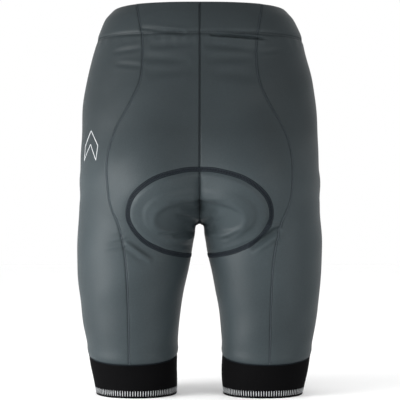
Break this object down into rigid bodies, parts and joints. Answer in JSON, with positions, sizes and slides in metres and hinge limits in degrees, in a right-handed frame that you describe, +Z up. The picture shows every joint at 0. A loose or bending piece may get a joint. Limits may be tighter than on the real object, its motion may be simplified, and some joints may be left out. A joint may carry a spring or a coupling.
{
  "type": "padded cycling shorts",
  "caption": "Close-fitting knee-length cycling shorts with a seat pad, folded elastic waistband and elastic leg bands.",
  "frame": {"origin": "on the ground under the middle of the shorts, which stand on their two leg hems", "axes": "+Z up from the hems to the waist, +X to the wearer's left, -Y to the wearer's front, +Y to the back"},
  "size_m": [0.3294, 0.2259, 0.5175],
  "materials": {
    "slate_fabric": "satin",
    "slate_thread": "matte",
    "white_elastic": "matte",
    "black_elastic": "matte",
    "dark_thread": "matte",
    "reflective_print": "satin",
    "silicone": "satin",
    "pad_foam": "matte",
    "pad_cover_knit": "matte",
    "label_cloth": "matte"
  },
  "bodies": {
    "shorts": {"back_panel_left": "slate_fabric", "back_panel_right": "slate_fabric", "side_panel_left": "slate_fabric", "side_panel_right": "slate_fabric", "front_panel_left": "slate_fabric", "front_panel_right": "slate_fabric", "back_side_seam_left": "slate_thread", "back_side_seam_right": "slate_thread", "front_side_seam_left": "slate_thread", "front_side_seam_right": "slate_thread", "rise_seam": "slate_thread", "inseam_left": "slate_thread", "inseam_right": "slate_thread", "waist_coverstitch": "slate_thread", "waist_elastic": "white_elastic", "leg_gripper_left": "black_elastic", "leg_gripper_right": "black_elastic", "gripper_seam_left": "dark_thread", "gripper_seam_right": "dark_thread", "gripper_closure_seam_left": "dark_thread", "gripper_closure_seam_right": "dark_thread", "pad_flatlock_stitch": "dark_thread", "reflective_trim_left": "reflective_print", "reflective_trim_right": "reflective_print", "hip_mark_left": "reflective_print", "silicone_print_left": "silicone", "silicone_print_right": "silicone", "pad_backing": "pad_foam", "pad_base_foam": "pad_foam", "pad_sit_foam_left": "pad_foam", "pad_sit_foam_right": "pad_foam", "pad_centre_foam": "pad_foam", "pad_face_cover": "pad_cover_knit", "size_patch": "label_cloth"},
    "care_label": {"care_label": "label_cloth"}
  },
  "joints": [
    {"name": "care_label_flap", "type": "hinge", "parent": "shorts", "child": "care_label", "pos_m": [0, 0.09192, 0.47498], "axis": [-1, 0, 0], "range_deg": [0, 80], "stiffness_Nm_per_rad": 0.0002}
  ]
}
